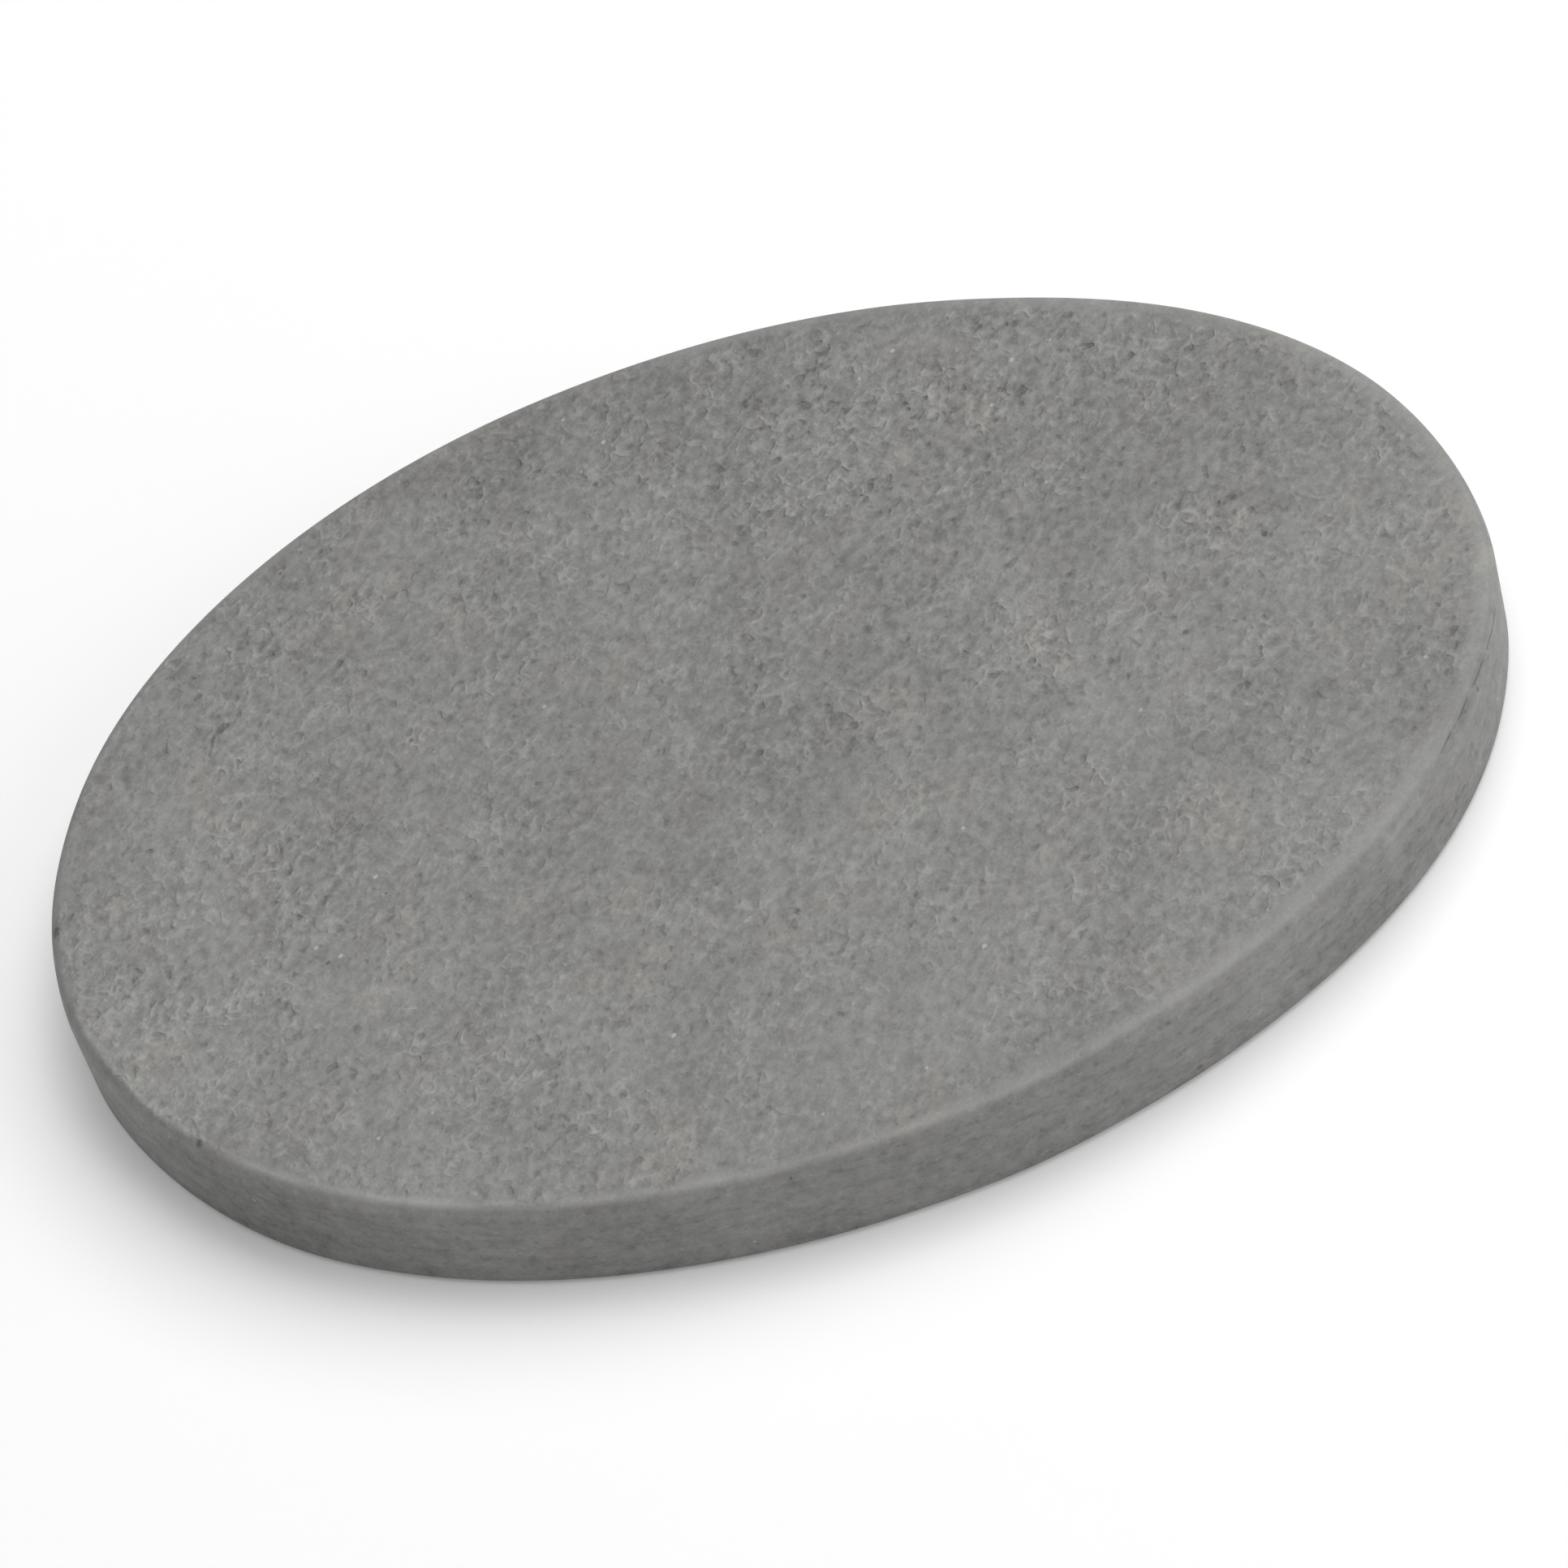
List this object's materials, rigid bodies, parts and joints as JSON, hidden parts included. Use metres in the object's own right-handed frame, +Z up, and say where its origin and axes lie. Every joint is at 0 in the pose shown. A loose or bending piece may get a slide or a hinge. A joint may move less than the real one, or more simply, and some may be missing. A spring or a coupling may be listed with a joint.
{
  "type": "basalt massage stone",
  "caption": "Flat oval slab of honed grey basalt with softly rounded rims, warmed or cooled and laid on the body in hot stone massage.",
  "frame": {"origin": "middle of the stone's flat resting face", "axes": "+X along the oval, +Y across it, +Z up out of the working face, through the stone's thickness"},
  "size_m": [0.12, 0.085, 0.01],
  "materials": {
    "basalt": "matte"
  },
  "bodies": {
    "root": {"basalt_stone": "basalt"}
  },
  "joints": []
}
